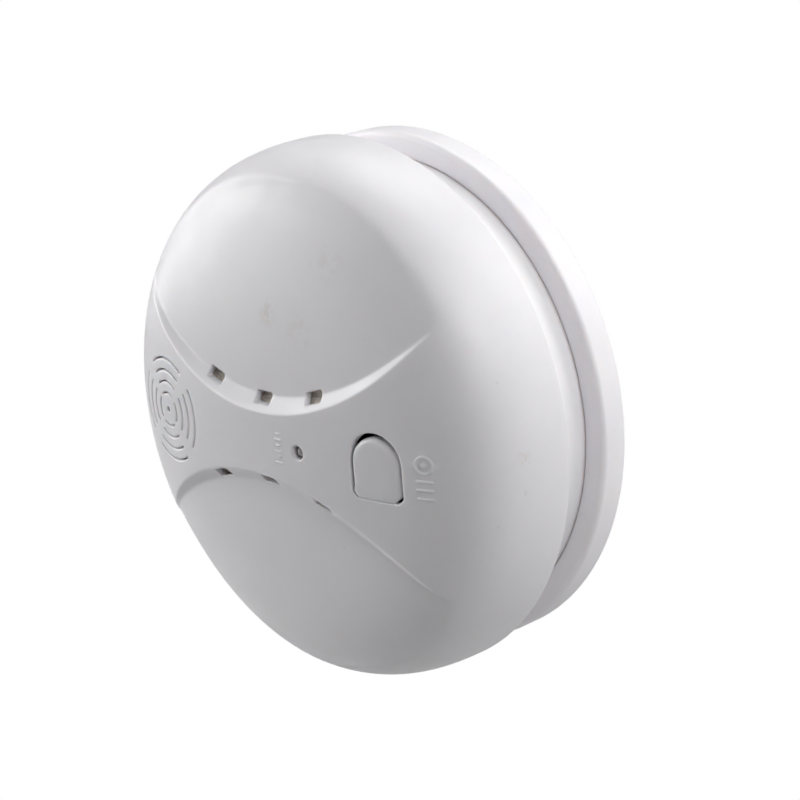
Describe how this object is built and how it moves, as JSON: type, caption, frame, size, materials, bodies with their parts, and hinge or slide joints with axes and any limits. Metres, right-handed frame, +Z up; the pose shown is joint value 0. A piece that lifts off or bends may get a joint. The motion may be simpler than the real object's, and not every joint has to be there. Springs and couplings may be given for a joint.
{
  "type": "smoke detector",
  "caption": "Round battery smoke detector: domed cover with scooped vents, test button and sounder grille, on a mounting base it twists off.",
  "frame": {"origin": "centre of the flat back face of the mounting base, the face that lies on the wall or ceiling", "axes": "+Y out of the back face into the wall, so the detector faces -Y; +Z up the front, square to the line of grille, indicator and button; +X towards the test button"},
  "size_m": [0.1092, 0.0463, 0.1092],
  "materials": {
    "base_white": "moulded off-white, fine matt texture",
    "neck_white": "moulded off-white, fine matt texture",
    "housing_white": "satin off-white",
    "button_white": "satin off-white",
    "board_green": "green solder resist",
    "led_lens": "clear resin",
    "spacer_black": "matt",
    "switch_black": "matt",
    "tinned_steel": "tinned",
    "plunger_red": "matt",
    "chamber_black": "dead matt",
    "screen_steel": "etched",
    "emitter_blue": "tinted resin",
    "diode_dark": "dark resin",
    "horn_white": "matt, natural",
    "gauze_grey": "fine woven gauze, grey-brown",
    "brass": "rolled",
    "ceramic_white": "silvered ceramic",
    "chip_black": "moulded epoxy",
    "capacitor_sleeve": "shrink sleeve",
    "ferrite_grey": "ferrite",
    "battery_jacket": "plain printed jacket",
    "nickel": "nickel plated",
    "connector_vinyl": "soft vinyl",
    "lead_red": "PVC insulation",
    "lead_black": "PVC insulation",
    "screw_steel": "zinc plated"
  },
  "bodies": {
    "base": {"mounting_base": "base_white"},
    "head": {"rear_housing": "neck_white", "front_cover": "housing_white", "circuit_board": "board_green", "indicator_led": "led_lens", "led_spacer": "spacer_black", "switch_body": "switch_black", "switch_frame": "tinned_steel", "chamber_base": "chamber_black", "chamber_cover": "chamber_black", "insect_screen": "screen_steel", "infrared_emitter": "emitter_blue", "photodiode": "diode_dark", "sensor_shield": "tinned_steel", "vent_gauze_upper": "gauze_grey", "vent_gauze_lower": "gauze_grey", "horn_housing": "horn_white", "piezo_disc": "brass", "piezo_ceramic": "ceramic_white", "alarm_chip": "chip_black", "electrolytic_capacitor": "capacitor_sleeve", "boost_inductor": "ferrite_grey", "battery": "battery_jacket", "battery_positive_terminal": "nickel", "battery_negative_terminal": "nickel", "snap_connector": "connector_vinyl", "snap_socket": "nickel", "snap_stud": "nickel", "red_lead": "lead_red", "black_lead": "lead_black", "housing_screw_1": "screw_steel", "board_screw_1": "screw_steel", "housing_screw_2": "screw_steel", "board_screw_2": "screw_steel", "housing_screw_3": "screw_steel", "board_screw_3": "screw_steel"},
    "button": {"test_button": "button_white"},
    "plunger": {"switch_plunger": "plunger_red"}
  },
  "joints": [
    {"name": "head_twist", "type": "hinge", "parent": "base", "child": "head", "pos_m": [0, 0, 0], "axis": [0, -1, 0], "range_deg": [0, 18]},
    {"name": "button_press", "type": "hinge", "parent": "head", "child": "button", "pos_m": [0.0306, -0.04246, -0.0063], "axis": [-1, 0, 0], "range_deg": [0, 4], "stiffness_Nm_per_rad": 0.12},
    {"name": "plunger_travel", "type": "slide", "parent": "head", "child": "plunger", "axis": [0, 1, 0], "range_m": [0, 0.0006]}
  ],
  "couplings": [
    {"joint": "plunger_travel", "follows": "button_press", "m_per_rad": 0.0083}
  ]
}
